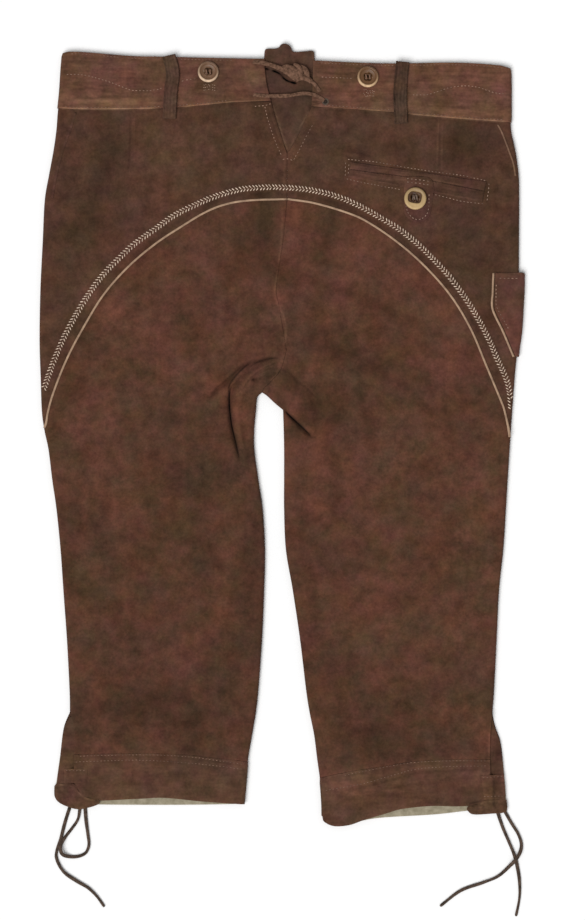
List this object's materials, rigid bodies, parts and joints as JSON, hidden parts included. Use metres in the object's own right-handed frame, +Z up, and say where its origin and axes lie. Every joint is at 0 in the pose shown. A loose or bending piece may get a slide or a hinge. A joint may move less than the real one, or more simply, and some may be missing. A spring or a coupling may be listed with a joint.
{
  "type": "lederhosen",
  "caption": "Knee-length suede lederhosen laid flat, back up, with an arched embroidered seat seam, V gusset tied by a lace, welt pocket, horn buttons and laced knee bands.",
  "frame": {"origin": "middle of the laid garment without its free knee laces, on the surface it lies on", "axes": "+Z up out of the garment's back, +Y towards its waist, +X towards its right side as seen from above"},
  "size_m": [0.4858, 0.8741, 0.0139],
  "materials": {
    "suede": "napped suede, matt",
    "suede_band": "napped suede, lighter and rubbed",
    "suede_dark": "napped suede, darker and greasy with wear",
    "piping_leather": "smooth light piping",
    "lace_leather": "cut leather lace",
    "horn": "turned horn, mottled, half polished",
    "hide_inside": "pale flesh side and cut edge",
    "thread": "waxed cream sewing and embroidery thread"
  },
  "bodies": {
    "root": {"back_gusset": "suede_dark", "back_lace_knot": "lace_leather", "back_lace_lower": "lace_leather", "back_lace_upper_left": "lace_leather", "back_lace_upper_right": "lace_leather", "belt_loop_left": "suede_dark", "belt_loop_right": "suede_dark", "front_left": "suede", "front_right": "suede", "hip_piping_left": "suede", "hip_piping_right": "suede", "knee_band_back_left": "suede_band", "knee_band_back_right": "suede_band", "knee_band_front_left": "suede_band", "knee_band_front_right": "suede_band", "knee_lace_left_loop": "lace_leather", "knee_lace_left_tail": "lace_leather", "knee_lace_right_inner": "lace_leather", "knee_lace_right_outer": "lace_leather", "lace_casing_left": "suede_dark", "lace_casing_right": "suede_dark", "lace_tab_left": "suede", "lace_tab_right": "suede", "pocket_button": "horn", "pocket_tab": "suede_dark", "pocket_welt_lower": "suede", "pocket_welt_upper": "suede", "seat_leg_left": "suede", "seat_leg_right": "suede", "seat_piping_left": "piping_leather", "seat_piping_right": "piping_leather", "side_pocket": "suede", "side_pocket_piping": "piping_leather", "slit_underlay_left": "suede_dark", "slit_underlay_right": "suede_dark", "waist_button_left": "horn", "waist_button_right": "horn", "waistband_back_left": "suede_band", "waistband_back_right": "suede_band", "waistband_front_left": "suede_band", "waistband_front_right": "suede_band", "yoke_left": "suede", "yoke_right": "suede"}
  },
  "joints": []
}
